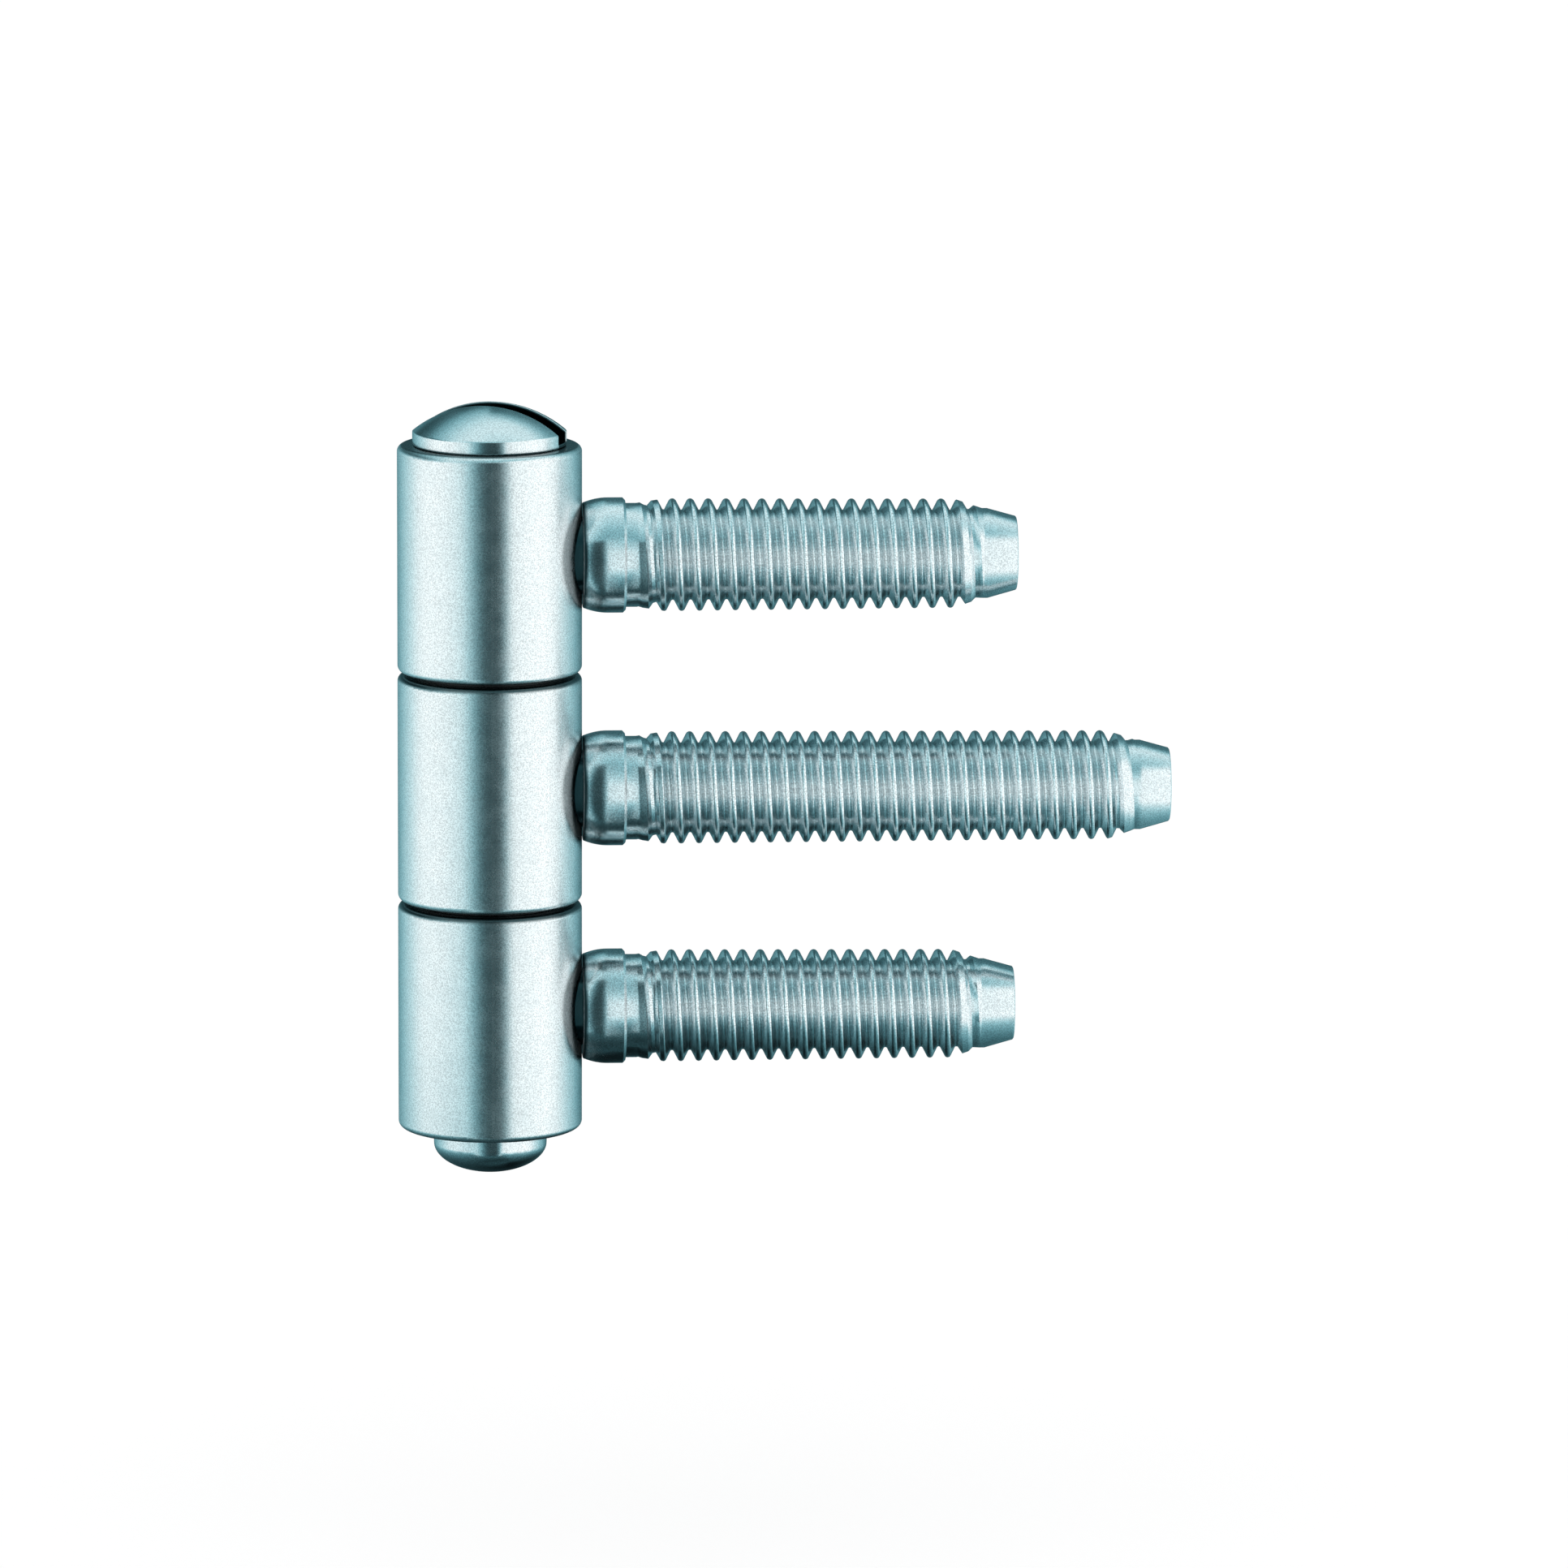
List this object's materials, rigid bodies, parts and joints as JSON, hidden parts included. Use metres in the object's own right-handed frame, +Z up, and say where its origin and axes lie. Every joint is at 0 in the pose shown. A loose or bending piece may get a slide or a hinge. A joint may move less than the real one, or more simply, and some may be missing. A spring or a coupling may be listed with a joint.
{
  "type": "drill-in hinge",
  "caption": "Round knuckles on a shared pin under a slotted domed cap, each knuckle carried by a collared, threaded shank that screws sideways into a door and its frame.",
  "frame": {"origin": "on the middle shank's axis, where its thread begins", "axes": "+X along the shanks towards their tips, +Z up along the hinge pin towards the domed cap"},
  "size_m": [0.0545, 0.013, 0.0549],
  "materials": {
    "satin_steel": "fine satin plating",
    "shank_steel": "bright zinc plating",
    "pin_steel": "turned and plated",
    "bush_plastic": "moulded"
  },
  "bodies": {
    "middle": {"middle_knuckle": "satin_steel", "middle_shank": "shank_steel", "upper_bush": "bush_plastic", "lower_bush": "bush_plastic"},
    "pin": {"hinge_pin": "pin_steel", "dome_cap": "pin_steel"},
    "upper": {"upper_knuckle": "satin_steel", "upper_shank": "shank_steel"},
    "lower": {"lower_knuckle": "satin_steel", "lower_shank": "shank_steel"}
  },
  "joints": [
    {"name": "pin_turn", "type": "hinge", "parent": "middle", "child": "pin", "pos_m": [-0.01073, 0, 0], "axis": [0, 0, 1], "continuous": true},
    {"name": "upper_turn", "type": "hinge", "parent": "pin", "child": "upper", "pos_m": [-0.01073, 0, 0.01665], "axis": [0, 0, 1], "continuous": true},
    {"name": "lower_turn", "type": "hinge", "parent": "pin", "child": "lower", "pos_m": [-0.01073, 0, -0.0157], "axis": [0, 0, 1], "continuous": true}
  ]
}
